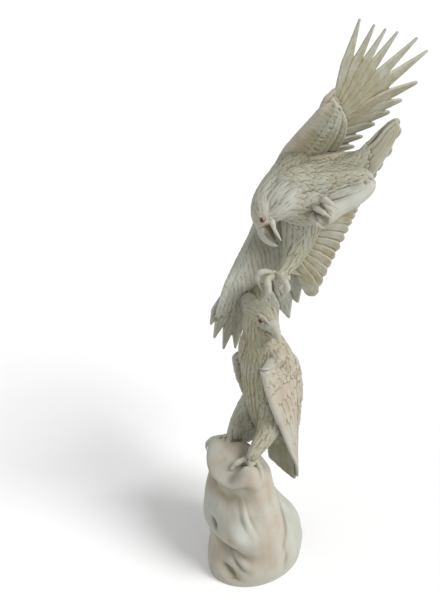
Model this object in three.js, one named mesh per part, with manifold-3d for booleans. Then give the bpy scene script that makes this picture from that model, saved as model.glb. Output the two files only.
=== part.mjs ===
// Carved wooden eagles on a rock: a perched eagle turns its head to its left while another swoops past its back.
// Units are millimetres, +Z is up, the origin is the centre of the flat underside of the rock,
// and the perched eagle's chest faces -Y. Rock, birds and wings are one block of wood.
import * as THREE from 'three';
import { mergeVertices } from 'three/addons/utils/BufferGeometryUtils.js';
import Module from 'manifold-3d';

const wasm = await Module();
wasm.setup();

// Eyes: glass balls, each in a socket a little larger than it is
const EYE_RADIUS = 5;
const EYE_GAP = 0.3;
const EYES = {
  upper_eye_left: [-34, 106.5, 688],
  upper_eye_right: [-43, 144.5, 684],
  lower_eye_right: [-17.5, 73, 504],
  lower_eye_left: [-18, 107.5, 504],
};

// Numbers between rows of knots: a smooth curve that passes through every row
function spline(knots, t) {
  const last = knots.length - 1;
  const s = Math.min(Math.max(t, 0), 1) * last;
  const i = Math.min(Math.floor(s), last - 1);
  const f = s - i;
  const a = knots[Math.max(i - 1, 0)];
  const b = knots[i];
  const c = knots[i + 1];
  const d = knots[Math.min(i + 2, last)];
  return b.map((_, k) => b[k]
    + 0.5 * f * (c[k] - a[k]
    + f * (2 * a[k] - 5 * b[k] + 4 * c[k] - d[k]
    + f * (3 * (b[k] - c[k]) + d[k] - a[k]))));
}

const vec = ([x, y, z]) => new THREE.Vector3(x, y, z);

// Closed solid through rings of points, each end closed by a fan from its middle
function skin(rings) {
  const count = rings[0].length;
  const points = rings.flat();
  const triangles = [];
  for (let r = 0; r + 1 < rings.length; r += 1) {
    for (let k = 0; k < count; k += 1) {
      const a = r * count + k;
      const b = r * count + (k + 1) % count;
      triangles.push(a, b, b + count, a, b + count, a + count);
    }
  }
  [[0, -1], [rings.length - 1, 1]].forEach(([r, side]) => {
    const middle = rings[r].reduce((sum, p) => sum.add(p), new THREE.Vector3()).divideScalar(count);
    const hub = points.push(middle) - 1;
    for (let k = 0; k < count; k += 1) {
      const a = r * count + k;
      const b = r * count + (k + 1) % count;
      triangles.push(...(side > 0 ? [a, b, hub] : [b, a, hub]));
    }
  });
  const geometry = new THREE.BufferGeometry().setFromPoints(points);
  geometry.setIndex(triangles);
  return solid(geometry);
}

function solid(geometry) {
  const bare = geometry.clone();
  bare.deleteAttribute('normal');
  bare.deleteAttribute('uv');
  const merged = mergeVertices(bare, 1e-4);
  const mesh = {
    numProp: 3,
    vertProperties: new Float32Array(merged.attributes.position.array),
    triVerts: new Uint32Array(merged.index.array),
  };
  const result = new wasm.Manifold(new wasm.Mesh(mesh));
  return result.volume() < 0 ? solid(geometry.clone().setIndex(Array.from(geometry.index.array).reverse())) : result;
}

// Round-sectioned limb: each knot is x, y, z, half width along `across`, half depth square to it
function limb(knots, across, steps, sides) {
  const reference = vec(across);
  const rings = [];
  for (let r = 0; r <= steps; r += 1) {
    const t = r / steps;
    const row = spline(knots, t);
    const ahead = vec(spline(knots, Math.min(t + 0.01, 1)));
    const along = ahead.sub(vec(spline(knots, Math.max(t - 0.01, 0)))).normalize();
    const side = reference.clone().addScaledVector(along, -reference.dot(along)).normalize();
    const deep = new THREE.Vector3().crossVectors(along, side);
    const ring = [];
    for (let k = 0; k < sides; k += 1) {
      const angle = 2 * Math.PI * k / sides;
      ring.push(vec(row)
        .addScaledVector(side, row[3] * Math.cos(angle))
        .addScaledVector(deep, row[4] * Math.sin(angle)));
    }
    rings.push(ring);
  }
  return skin(rings);
}

// Wing surface between a front edge and a back edge, each given by knots from body to tip.
// Its outer face runs through both edges, bowed out by camber, and its thickness lies behind that face
function sheet(front, back, { thick, camber = 0, side = 1, fade = 0, steps = 8, spans = 5, edge = 0.35 }) {
  const rings = [];
  const middle = t => vec(spline(front, t)).add(vec(spline(back, t)));
  for (let r = 0; r <= steps; r += 1) {
    const t = r / steps;
    const a = vec(spline(front, t));
    const chord = vec(spline(back, t)).sub(a);
    const span = middle(Math.min(t + 0.02, 1)).sub(middle(Math.max(t - 0.02, 0)));
    const face = new THREE.Vector3().crossVectors(span, chord).normalize().multiplyScalar(side);
    const ring = [];
    for (let k = 0; k <= 2 * spans + 1; k += 1) {
      const outer = k <= spans;
      const v = outer ? k / spans : (2 * spans + 1 - k) / spans;
      const bow = camber * 4 * v * (1 - v);
      const depth = outer ? 0 : thick * (1 - fade * t * t) * (edge + (1 - edge) * Math.sin(Math.PI * Math.min(1, v + 0.18)));
      ring.push(a.clone().addScaledVector(chord, v).addScaledVector(face, bow - depth));
    }
    rings.push(ring);
  }
  return skin(rings);
}

// One feather: a flat diamond-sectioned blade from root to tip. `taper` is the share of its length
// that narrows to `tipWidth`, straight-sided at power 1 and round-ended at higher powers
function feather(root, tip, face, width, thick, { taper = 0.4, tipWidth = 0.25, power = 1, steps = 3 } = {}) {
  const a = vec(root);
  const b = vec(tip);
  const across = new THREE.Vector3().crossVectors(vec(face), b.clone().sub(a)).normalize();
  const knots = [];
  for (let r = 0; r <= steps; r += 1) {
    const t = r / steps;
    const place = a.clone().lerp(b, t);
    const narrowing = Math.max(0, (t - 1 + taper) / taper) ** power;
    const shape = Math.min(1, 0.5 + t) * (1 - (1 - tipWidth) * narrowing);
    knots.push([place.x, place.y, place.z, 0.5 * width * shape, 0.5 * thick * (1 - 0.4 * t)]);
  }
  return limb(knots, across.toArray(), steps, 4);
}

// Row of feathers: roots, tips, faces and widths each run along a smooth curve
function fan(count, roots, tips, faces, widths, thick, options = {}) {
  return Array.from({ length: count }, (_, k) => {
    const t = k / (count - 1);
    return feather(spline(roots, t), spline(tips, t), spline(faces, t), spline(widths, t)[0], thick, options);
  });
}

const join = solids => solids.reduce((all, next) => all.add(next));

// Rock: a round block, wider at the foot, with swellings and hollows in its side
// Each swelling: heading in degrees, height, half angle, half height, lean, depth (hollows are negative)
const SWELLINGS = [
  [-110, 128, 32, 32, -0.6, 6],
  [-84, 172, 26, 15, -0.2, -10],
  [-78, 86, 30, 15, -0.7, -12],
  [-54, 122, 15, 20, 0, 17],
  [-80, 112, 9, 18, -0.4, -8],
  [-92, 40, 26, 20, 0, 6],
  [-20, 150, 20, 34, 0, -7],
  [-10, 60, 30, 40, 0, 4],
  [22, 165, 22, 30, 0, -8],
  [52, 88, 26, 40, 0, 6],
  [-150, 150, 16, 60, 0, -4],
  [-128, 190, 26, 11, 0, -16],
  [-170, 60, 30, 40, 0, 2],
  [110, 120, 24, 50, 0, -6],
  [-18, 205, 12, 22, 0, 8],
];
const KNOBS = [
  [-84, -16, 34, 32], [36, -18, 28, 30], [8, -46, 16, -4], [-42, 28, 26, 18], [25, -29, 10, 7], [-30, -10, 30, 18],
];

function rock() {
  const levels = [
    [0, -4, 83, 96, 0], [1, -2, 86, 97, 20], [-1, 3, 88, 95, 40], [-2, 5, 88, 87, 60], [-3, 2, 88, 86, 80],
    [-5, -2, 87, 83, 100], [-10, -6, 85, 76, 120], [-13, -9, 82, 69, 140], [-14, -11, 81, 62, 160],
    [-16, -9, 79, 56, 180], [-18, -8, 76, 52, 200], [-19, -5, 66, 46, 214], [-19, -2, 36, 26, 216],
  ];
  const steps = 13;
  const sides = 24;
  const rings = [];
  for (let r = 0; r <= steps; r += 1) {
    const [x, y, a, b, z] = spline(levels, r / steps);
    const ring = [];
    for (let k = 0; k < sides; k += 1) {
      const angle = 2 * Math.PI * k / sides;
      const heading = k * 360 / sides;
      const grow = SWELLINGS.reduce((sum, [at, height, wide, tall, lean, depth]) => {
        const turn = ((heading - at + 540) % 360) - 180;
        const rise = z - height - lean * turn;
        return sum + depth * Math.exp(-((turn / wide) ** 2) - (rise / tall) ** 2);
      }, 0) * Math.min(1, z / 15);
      const px = x + (a + grow) * Math.cos(angle);
      const py = y + (b + grow) * Math.sin(angle);
      const lift = KNOBS.reduce((sum, [kx, ky, size, high]) =>
        sum + high * Math.exp(-((px - kx) ** 2 + (py - ky) ** 2) / size ** 2), 0);
      ring.push(new THREE.Vector3(px, py, z + lift * Math.max(0, (z - 150) / 66)));
    }
    rings.push(ring);
  }
  return skin(rings);
}

// Perched eagle
function perched() {
  const body = limb([
    [-32, 108, 215, 18, 18], [-32, 98, 255, 38, 36], [-34, 94, 300, 47, 46], [-36, 92, 350, 49, 47],
    [-38, 92, 395, 49, 45], [-42, 92, 428, 41, 38], [-46, 92, 455, 34, 31], [-47, 93, 482, 34, 28],
    [-46, 93, 505, 27, 22], [-46, 92, 517, 8, 6],
  ], [1, 0, 0], 11, 14);
  const head = limb([
    [-95, 100, 508, 7, 5], [-82, 99, 504, 17, 15], [-57, 96, 499, 24, 21], [-31, 93, 497, 23, 22],
    [-11, 89, 496, 16, 16], [3, 85, 494, 12, 13], [13, 82, 489, 9, 10], [20, 79, 480, 5, 6], [20, 78, 469, 1, 1.2],
  ], [0, 1, 0], 10, 10);
  // wood left standing between the nape and the hanging wing behind it
  const bridge = limb([
    [-48, 98, 494, 20, 22], [-76, 116, 500, 17, 19], [-108, 138, 510, 16, 22],
  ], [0, 1, 0], 3, 8);
  const nearShoulder = limb([
    [-46, 92, 474, 24, 20], [-34, 90, 454, 28, 28], [-20, 87, 432, 32, 36], [-8, 86, 408, 27, 38],
    [0, 92, 376, 15, 36],
  ], [1, 0, 0], 5, 10);
  const farShoulder = limb([
    [-46, 92, 474, 24, 20], [-54, 90, 450, 25, 30], [-61, 88, 428, 22, 36], [-68, 92, 400, 14, 38],
  ], [1, 0, 0], 4, 10);
  const parts = [body, head, bridge, nearShoulder, farShoulder];
  const nearFront = [
    [14, 38, 424], [26, 36, 392], [32, 41, 350], [34, 54, 306], [31, 74, 240], [17, 102, 175], [-8, 125, 120],
  ];
  const nearBack = [
    [-20, 112, 438], [-8, 140, 398], [-6, 147, 350], [-7, 146, 306], [-14, 140, 240], [-16, 135, 175], [-9, 128, 120],
  ];
  const farFront = [
    [-80, 47, 406], [-85, 52, 380], [-88, 58, 350], [-88, 70, 306], [-84, 84, 240], [-72, 108, 175], [-50, 128, 118],
  ];
  const farBack = [
    [-52, 120, 436], [-60, 140, 400], [-62, 146, 350], [-60, 144, 306], [-52, 138, 240], [-50, 134, 175], [-49, 130, 118],
  ];
  parts.push(sheet(nearFront, nearBack, { thick: 15, camber: 3, side: -1, fade: 0.6, steps: 7, spans: 4 }));
  parts.push(sheet(farFront, farBack, { thick: 15, camber: 2, side: 1, fade: 0.6, steps: 7, spans: 4 }));
  const tailFront = [[-8, 112, 250], [-6, 121, 195], [-9, 126, 150], [-14, 128, 111]];
  const tailBack = [[-58, 110, 250], [-68, 112, 205], [-78, 114, 165], [-83, 117, 134]];
  parts.push(sheet(tailFront, tailBack, { thick: 9, side: 1, fade: 0.3, steps: 3, spans: 3, edge: 0.7 }));
  const thighs = [
    [
      [-16, 88, 330, 20, 34], [0, 72, 304, 24, 32], [9, 42, 277, 16, 20], [14, 10, 257, 11, 13], [14, 0, 243, 8, 8],
      [14, -2, 234, 8, 8],
    ],
    [
      [-54, 100, 330, 20, 36], [-65, 82, 296, 21, 38], [-70, 60, 262, 17, 40], [-72, 46, 240, 13, 36],
      [-72, 38, 222, 11, 32],
    ],
  ];
  thighs.forEach(knots => parts.push(limb(knots, [1, 0, 0], 6, 10)));
  const toes = [
    [[13, 2, 240, 7, 7], [3, -8, 242, 6, 6], [-4, -24, 236, 5, 5], [-6, -33, 212, 1, 1]],
    [[14, 0, 240, 7, 7], [27, -12, 241, 6, 6], [38, -19, 233, 5, 5], [39, -22, 207, 1, 1]],
    [[16, 2, 240, 7, 7], [34, 2, 239, 6, 6], [50, -6, 231, 5, 5], [54, -18, 206, 1, 1]],
    [[-74, 12, 240, 7, 7], [-85, 1, 241, 6, 6], [-93, -14, 238, 5, 5], [-98, -25, 216, 1, 1]],
    [[-73, 12, 239, 7, 7], [-76, -2, 238, 6, 6], [-73, -16, 231, 5, 5], [-66, -22, 207, 1, 1]],
    [[-71, 12, 239, 7, 7], [-60, 0, 237, 6, 6], [-50, -12, 229, 5, 5], [-44, -20, 208, 1, 1]],
  ];
  toes.forEach(knots => parts.push(limb(knots, [1, 0, 0], 4, 5)));
  return parts;
}

// Swooping eagle
function swooping() {
  const parts = [];
  parts.push(limb([
    [-74, 172, 724, 28, 32], [-58, 192, 714, 44, 46], [-46, 220, 706, 50, 52], [-28, 255, 712, 42, 44],
    [-10, 286, 726, 26, 30], [8, 314, 750, 12, 20], [24, 340, 780, 6, 12],
  ], [1, 0, 0.3], 8, 10));
  parts.push(limb([
    [-72, 196, 732, 28, 24], [-70, 164, 716, 26, 25], [-61, 136, 698, 24, 26], [-48, 123, 681, 21, 23],
    [-38, 118, 670, 16, 17],
  ], [0, 1, 0], 7, 10));
  // throat, and the two halves of the open beak
  parts.push(limb([
    [-40, 126, 686, 11, 11], [-30, 140, 694, 16, 16], [-28, 160, 702, 22, 24], [-36, 185, 708, 28, 32],
    [-46, 210, 708, 30, 34],
  ], [1, 0, 0], 4, 8));
  parts.push(limb([
    [-48, 122, 680, 13, 14], [-47, 115, 663, 11, 11.5], [-42, 113, 653, 8.5, 9], [-31, 112, 647, 6, 6.5],
    [-17, 112, 644, 4, 4], [-2, 112, 646, 1, 1],
  ], [0, 1, 0], 5, 8));
  parts.push(limb([
    [-46, 130, 700, 12, 12], [-29, 122, 686, 7.5, 7], [-18, 119, 672, 4.8, 4], [-8, 119, 661, 3.4, 2.8],
    [0, 119, 653, 1, 1],
  ], [0, 1, 0], 5, 8));
  // raised wing: arm, long feathers, then the short feathers that cover their roots
  const upFront = [[-104, 172, 716], [-88, 200, 772], [-53, 200, 809], [-18, 201, 843], [16, 203, 876], [31, 222, 896]];
  const upCoverts = [
    [-64, 290, 722], [-56, 290, 740], [-32, 288, 766], [-4, 281, 800], [18, 266, 838], [32, 238, 874],
  ];
  parts.push(sheet(upFront, upCoverts, { thick: 16, camber: -2, side: 1, fade: 0.6, steps: 7, spans: 4, edge: 0.25 }));
  const upFace = [[0.97, -0.19, -0.15], [0.97, -0.19, -0.15]];
  parts.push(...fan(6,
    [[32, 228, 886], [26, 236, 862], [22, 242, 850]],
    [[51, 270, 1016], [55, 299, 1001], [57, 323, 989], [58, 350, 978], [59, 396, 957], [55, 426, 927]],
    upFace, [[26], [27], [32], [36]], 10, { taper: 0.54, tipWidth: 0.14 }));
  parts.push(...fan(6,
    [[18, 244, 850], [-4, 250, 820], [-46, 255, 766]],
    [[46, 410, 873], [28, 390, 842], [12, 375, 820], [-6, 355, 799], [-28, 345, 773], [-43, 338, 752]],
    [[0.9, -0.19, -0.4], [0.68, -0.18, -0.7]], [[30], [36], [34]], 10, { taper: 0.36, tipWidth: 0.25, power: 1.3 }));
  parts.push(feather([16, 208, 868], [33, 227, 906], [0.9, -0.19, -0.4], 20, 12, { tipWidth: 0.3, steps: 2 }));
  // hanging wing, outer part
  const downFront = [
    [-104, 172, 716], [-122, 168, 665], [-126, 140, 615], [-115, 98, 583], [-105, 58, 548], [-106, 40, 514],
    [-116, 40, 480],
  ];
  const downBack = [
    [-62, 300, 700], [-66, 280, 655], [-82, 240, 612], [-86, 236, 575], [-88, 234, 540], [-92, 228, 505],
    [-102, 205, 470],
  ];
  parts.push(sheet(downFront, downBack, { thick: 17, camber: 6, side: -1, fade: 0.9, steps: 8, spans: 4 }));
  parts.push(...fan(9,
    [[-100, 66, 580], [-96, 100, 575], [-92, 150, 570], [-88, 205, 575]],
    [[-118, 37, 498], [-131, 39, 463], [-142, 51, 423], [-148, 74, 385], [-143, 99, 378], [-136, 137, 386],
      [-125, 176, 400], [-112, 215, 411], [-100, 230, 445]],
    [[0.93, -0.16, -0.3], [0.9, -0.16, -0.34]], [[26], [32], [40]], 10, { taper: 0.36, tipWidth: 0.16 }));
  // hanging wing, inner curtain behind the striking leg
  const innerFront = [[-80, 275, 670], [-80, 240, 620], [-78, 205, 575], [-74, 185, 540]];
  const innerBack = [[-46, 322, 650], [-48, 296, 605], [-51, 264, 560], [-61, 228, 516]];
  parts.push(sheet(innerFront, innerBack, { thick: 8, side: -1, steps: 4, spans: 3, edge: 0.8 }));
  parts.push(...fan(9,
    [[-62, 262, 650], [-62, 246, 622], [-62, 224, 590], [-62, 200, 560]],
    [[-30, 343, 646], [-31, 330, 628], [-33, 312, 602], [-36, 290, 568], [-40, 264, 530], [-57, 238, 473]],
    [[0.84, -0.5, 0.17], [0.84, -0.5, 0.17]], [[26], [28], [32]], 7, { taper: 0.24, tipWidth: 0.4, power: 1.8, steps: 2 }));
  // tail
  const tailTop = [[-30, 262, 738], [-2, 304, 763], [18, 324, 780], [32, 342, 806], [41, 362, 818]];
  const tailFoot = [[2, 286, 690], [14, 312, 706], [25, 334, 732], [34, 354, 766], [42, 369, 800]];
  parts.push(sheet(tailFoot, tailTop, { thick: 12, side: -1, fade: 0.5, steps: 5, spans: 3, edge: 0.6 }));
  parts.push(...fan(5,
    [[6, 306, 758], [4, 298, 736]],
    [[43, 368, 816], [43, 372, 798], [35, 358, 763], [28, 342, 737], [23, 328, 714]],
    [[0.8, -0.6, 0.1], [0.8, -0.6, 0.1]], [[22], [30]], 8, { taper: 0.24, tipWidth: 0.45, power: 2, steps: 2 }));
  // folded leg: thigh, shank and clenched toes
  parts.push(limb([
    [-36, 222, 704, 44, 46], [-14, 246, 712, 40, 40], [8, 266, 719, 30, 31], [26, 282, 723, 22, 23],
    [39, 292, 723, 15, 17], [46, 297, 723, 7, 9],
  ], [1, 0, 0], 6, 10));
  parts.push(limb([
    [42, 290, 716, 15, 15], [50, 268, 709, 13, 14], [48, 242, 702, 13, 14], [42, 214, 696, 15, 15],
    [36, 196, 692, 20, 20], [34, 188, 691, 20, 20],
  ], [1, 0, 0], 6, 10));
  [
    [[26, 192, 714, 6, 6], [42, 182, 724, 6, 6], [56, 186, 720, 4.5, 4.5], [64, 200, 706, 1, 1]],
    [[16, 188, 699, 6, 6], [32, 175, 708, 6, 6], [47, 177, 703, 4.5, 4.5], [58, 186, 692, 1, 1]],
    [[12, 188, 684, 6, 6], [22, 174, 687, 6, 6], [36, 172, 679, 4.5, 4.5], [48, 178, 671, 1, 1]],
  ].forEach(knots => parts.push(limb(knots, [0, 0, 1], 4, 5)));
  // striking leg
  parts.push(limb([
    [-46, 222, 690, 42, 46], [-44, 208, 654, 30, 44], [-42, 194, 620, 23, 36], [-37, 172, 593, 17, 24],
    [-31, 151, 579, 12, 15], [-26, 134, 573, 9, 9], [-24, 122, 574, 8, 8],
  ], [1, 0, 0], 7, 10));
  [
    [[-22, 122, 576, 6, 6], [2, 114, 580, 5.5, 5.5], [18, 111, 569, 5, 5], [1, 103, 538, 1, 1]],
    [[-24, 118, 576, 6, 6], [-20, 98, 578, 5.5, 5.5], [-12, 92, 560, 5, 5], [-25, 92, 538, 1, 1]],
    [[-26, 118, 578, 6, 6], [-34, 100, 588, 5.5, 5.5], [-40, 90, 578, 5, 5], [-36, 96, 547, 1, 1]],
    [[-24, 128, 576, 6, 6], [-24, 142, 568, 5.5, 5.5], [-26, 142, 554, 4.5, 4.5], [-28, 126, 545, 1, 1]],
  ].forEach(knots => parts.push(limb(knots, [0.3, 0.5, 0.8], 5, 5)));
  return parts;
}

const ball = (place, radius) => new THREE.SphereGeometry(radius, 8, 5).translate(...place);

const sockets = Object.values(EYES).map(place => solid(ball(place, EYE_RADIUS + EYE_GAP)));
const carved = join([rock(), ...perched(), ...swooping()]).subtract(join(sockets));
// The outer skin alone: spaces closed in between overlapping feathers are wood too
const wood = carved.decompose().reduce((most, shell) => (shell.volume() > most.volume() ? shell : most));
const meshData = wood.getMesh();
const woodGeometry = new THREE.BufferGeometry();
woodGeometry.setAttribute('position', new THREE.BufferAttribute(new Float32Array(meshData.vertProperties), 3));
woodGeometry.setIndex(Array.from(meshData.triVerts));
woodGeometry.computeVertexNormals();

const group = new THREE.Group();

function addPiece(name, geometry, color, roughness) {
  const piece = new THREE.Mesh(geometry, new THREE.MeshStandardMaterial({ color, roughness, metalness: 0 }));
  piece.name = name;
  group.add(piece);
}

addPiece('eagle_carving', woodGeometry, 0xcfc9a4, 0.7);
Object.entries(EYES).forEach(([name, place]) => addPiece(name, ball(place, EYE_RADIUS), 0xb84a20, 0.15));

export default group;
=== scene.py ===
"""Two eagles and their rock, carved from one pale log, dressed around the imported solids.

Shapes are worked out in millimetres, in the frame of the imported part: +Z up, the origin at the centre of the
underside, the perched eagle's chest towards -Y. They become metres where a mesh is made.
"""

import math

import bpy
import numpy as np
from mathutils import Matrix


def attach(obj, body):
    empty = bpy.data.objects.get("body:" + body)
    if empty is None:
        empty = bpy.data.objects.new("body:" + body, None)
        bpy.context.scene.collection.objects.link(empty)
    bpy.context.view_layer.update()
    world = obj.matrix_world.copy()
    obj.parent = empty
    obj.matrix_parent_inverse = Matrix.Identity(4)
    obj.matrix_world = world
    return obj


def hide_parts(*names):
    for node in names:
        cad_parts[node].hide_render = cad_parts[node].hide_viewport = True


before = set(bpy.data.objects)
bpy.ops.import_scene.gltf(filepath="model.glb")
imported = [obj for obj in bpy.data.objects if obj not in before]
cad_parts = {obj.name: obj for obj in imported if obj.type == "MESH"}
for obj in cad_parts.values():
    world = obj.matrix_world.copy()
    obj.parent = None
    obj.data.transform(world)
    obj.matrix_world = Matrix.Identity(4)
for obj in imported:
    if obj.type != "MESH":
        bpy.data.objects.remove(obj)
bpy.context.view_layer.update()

MM = 0.001

# Tint: 2.2 is the brown of painted shade, as in grooves, 1 olive, 0 pinkish cream, -0.9 cool white, and -2
# sage
DARK = 2.2
# Dark tint of the jaw: painted shade under the beak
JAW_SHADE_TINT = 1.5
DEEP_OLIVE = 1.2
UNDERWING = 1.1
OLIVE = 1.0
GREY_GREEN = 0.7
PALE = 0.3
PINKISH = 0.0
COOL = -0.8
DOWN = -1.3
DEEP_DOWN = -1.5
KEEL_DOWN = -1.6
CROWN_DOWN = -1.8
SAGE_DOWN = -1.9
# Tints that run from one end of a form to the other
BEAK_FADE = (CROWN_DOWN, 0.8, 0.5)
CROWN_FADE = (DEEP_DOWN, -0.4, PINKISH)
NECK_FADE = (PINKISH, -0.7, -1.4)
THIGH_FADE = (KEEL_DOWN, DEEP_DOWN, -1.2)
LEG_FADE = (-1.7, SAGE_DOWN)
HORN_FADE = (PALE, PINKISH)

# Directions across a sweep
X = (1, 0, 0)
Y = (0, 1, 0)
Z = (0, 0, 1)

# Kinds of feather. Each has a length, a width, the height of its tip, and how round its tip is
BARE, BREAST, HACKLES, HAIRS, BELLY, THIGH, COVERTS, SOFT, TROUSERS = range(9)
PLUMES = {
    BREAST: (22, 8, 1.9, 2.0),
    HACKLES: (26, 7, 1.4, 1.3),
    HAIRS: (13, 6, 0.9, 1.3),
    BELLY: (17, 10, 2.2, 2.4),
    THIGH: (22, 8, 1.9, 1.6),
    COVERTS: (12, 9, 1.5, 2.8),
    SOFT: (26, 9, 0.85, 1.8),
    TROUSERS: (18, 8, 2.0, 1.7),
}

# Depth of the fine strokes on a long feather, and the cells, in millimetres, in which forms are joined
BLADE_STROKES = 1.6
CORE_VOXEL = 2.0

# Share of a wing's length, each way, over which its span is measured
SPAN_STEP = 0.02

# Rounds of smoothing that grooves and broad hollows are measured against
FINE_ROUNDS = 5
BROAD_ROUNDS = 50


def curve(knots, t):
    """Rows of numbers at t from 0 to 1: a cubic through every knot, with its slope set by both neighbours."""
    knots = np.asarray(knots, float)
    last = len(knots) - 1
    s = np.clip(np.asarray(t, float), 0, 1) * last
    i = np.minimum(s.astype(int), last - 1)
    f = (s - i)[..., None]
    a = knots[np.maximum(i - 1, 0)]
    b = knots[i]
    c = knots[i + 1]
    d = knots[np.minimum(i + 2, last)]
    return b + 0.5 * f * (c - a + f * (2 * a - 5 * b + 4 * c - d + f * (3 * (b - c) + d - a)))


def circle(count):
    """Angles of points spaced evenly round a circle."""
    return np.linspace(0, 2 * math.pi, count, endpoint=False)


def unit(v):
    """Vectors divided by their length."""
    return v / np.maximum(np.linalg.norm(v, axis=-1, keepdims=True), 1e-9)


def marked(shape, tint, along, across, strokes, flow=(0, 0, -1), kind=BARE):
    """What each point carries: tint, places along and across, depth of strokes, feathers' flow and kind."""
    finish = (tint, along * MM, across * MM, strokes)
    parts = [np.broadcast_to(np.asarray(part, float), shape) for part in finish]
    lie = np.broadcast_to(np.asarray(flow, float), shape + (3,))
    kinds = np.broadcast_to(np.asarray(kind, float), shape)
    return np.concatenate([np.stack(parts, axis=-1), lie, kinds[..., None]], axis=-1)


def scales(s, c, reach=0.7, point=2.0, seam=0.3):
    """Height, 0 to 1, of rows of overlapping scales: s counts rows towards the tips, c scales round a row.

    Each scale rises along its length, ends in the curve 1 - |2b|^point, where b runs across it, lies over the
    next row, and is parted from its neighbours by a seam. Every second row is shifted by half a scale.
    """
    row = np.floor(s)
    f = s - row
    over = np.mod(c + 0.5 * np.mod(row - 1, 2), 1) - 0.5
    under = np.mod(c + 0.5 * np.mod(row, 2), 1) - 0.5
    covered = f < reach * (1 - np.abs(2 * over) ** point)
    height = np.where(covered, 1 + f, f) / (1 + reach)
    middle = np.where(covered, over, under)
    return height - seam * np.exp(-((0.5 - np.abs(middle)) / 0.09) ** 2) * (1 - covered)


def sweep(knots, across, rows, cols, relief=None, tint=GREY_GREEN, strokes=1.0, kind=BARE, way=1):
    """Round form along a path. A knot is x, y, z, half width along `across`, half depth square to it.

    A point is the path plus cos(angle) half widths and sin(angle) half depths, raised by relief(t, angle).
    Tints run from start to end. Feathers lie along the path, or against it where way is -1.
    """
    t = np.linspace(0, 1, rows)
    row = curve(knots, t)
    step = curve(knots, np.minimum(t + 0.01, 1)) - curve(knots, np.maximum(t - 0.01, 0))
    along = unit(step[:, :3])
    across = np.asarray(across, float)
    side = unit(across - along * (along @ across)[:, None])
    deep = np.cross(along, side)
    angle = circle(cols)
    wide = row[:, 3:4] * np.cos(angle)
    high = row[:, 4:5] * np.sin(angle)
    outward = side[:, None] * (row[:, 4:5] * np.cos(angle))[..., None]
    outward = unit(outward + deep[:, None] * (row[:, 3:4] * np.sin(angle))[..., None])
    points = row[:, None, :3] + side[:, None] * wide[..., None] + deep[:, None] * high[..., None]
    if relief:
        points = points + outward * relief(t[:, None], angle[None, :])[..., None]
    length = np.concatenate([[0], np.cumsum(np.linalg.norm(np.diff(row[:, :3], axis=0), axis=1))])
    around = angle * row[:, 3:5].mean()
    tints = np.atleast_1d(tint)
    shade = np.interp(t, np.linspace(0, 1, len(tints)), tints)[:, None]
    kinds = kind(t[:, None], angle[None, :]) if callable(kind) else kind
    flow = way * along[:, None]
    return points, marked(points.shape[:2], shade, length[:, None], around[None, :], strokes, flow, kinds)


def panel(front, back, thick, camber=0, side=1, fade=0, edge=0.35, start=0.02, rows=120, cols=60,
          outer=None, inner=None, tint=OLIVE, rim_tint=PINKISH, strokes=0.6, kind=BARE, lie=(1, 0)):
    """Wing surface between a front edge and a back edge, from body to tip.

    Its first face runs straight across, bowed by camber times 4v(1 - v). Its second face lies `thick` behind
    it, times 1 - fade t^2, and less towards both edges and over the first share `start` of its length.
    outer(t, v) and inner(t, v) carve the two faces. Feathers lie along chord and span in the shares of `lie`.
    """
    t = np.linspace(0, 1, rows)[:, None]
    v = 0.5 - 0.5 * np.cos(np.linspace(0, math.pi, cols))[None, :]
    a = curve(front, t[:, 0])
    chord = curve(back, t[:, 0]) - a
    ahead = np.minimum(t[:, 0] + SPAN_STEP, 1)
    behind = np.maximum(t[:, 0] - SPAN_STEP, 0)
    span = curve(front, ahead) + curve(back, ahead) - curve(front, behind) - curve(back, behind)
    face = unit(np.cross(span, chord)) * side
    depth = thick * (1 - fade * t * t) * (edge + (1 - edge) * np.sin(math.pi * np.minimum(1, v + 0.18)))
    depth = depth * np.sqrt(1 - (1 - np.clip(t / start, 0.05, 1)) ** 2)
    nose = np.sqrt(1 - (1 - np.clip(v / 0.08, 0, 1)) ** 2)
    bow = camber * 4 * v * (1 - v)
    first = bow + (outer(t, v) if outer else 0)
    second = bow - depth * (0.25 + 0.75 * nose) - (inner(t, v) if inner else 0)
    flat = a[:, None] + chord[:, None] * v[..., None]
    shape = flat.shape[:2]
    top, bottom = (flat + face[:, None] * np.broadcast_to(lift, shape)[..., None] for lift in (first, second))
    points = np.concatenate([top, bottom[:, ::-1]], axis=1)
    width = np.linalg.norm(chord, axis=1)[:, None] * v
    reach = np.linalg.norm(span, axis=1).mean() / (4 * SPAN_STEP) * t
    flow = unit(lie[0] * unit(chord) + lie[1] * unit(span))[:, None]
    shade = tint + (rim_tint - tint) * np.clip((0.24 - v) / 0.16, 0, 1)
    places = (reach, width) if lie[1] > lie[0] else (width, reach)
    kinds = kind(t, v) if callable(kind) else kind
    along, across = (np.broadcast_to(place, shape) for place in places)
    marks = marked(shape, shade, along, across, strokes, flow, kinds)
    return points, np.concatenate([marks, marks[:, ::-1]], axis=1)


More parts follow.
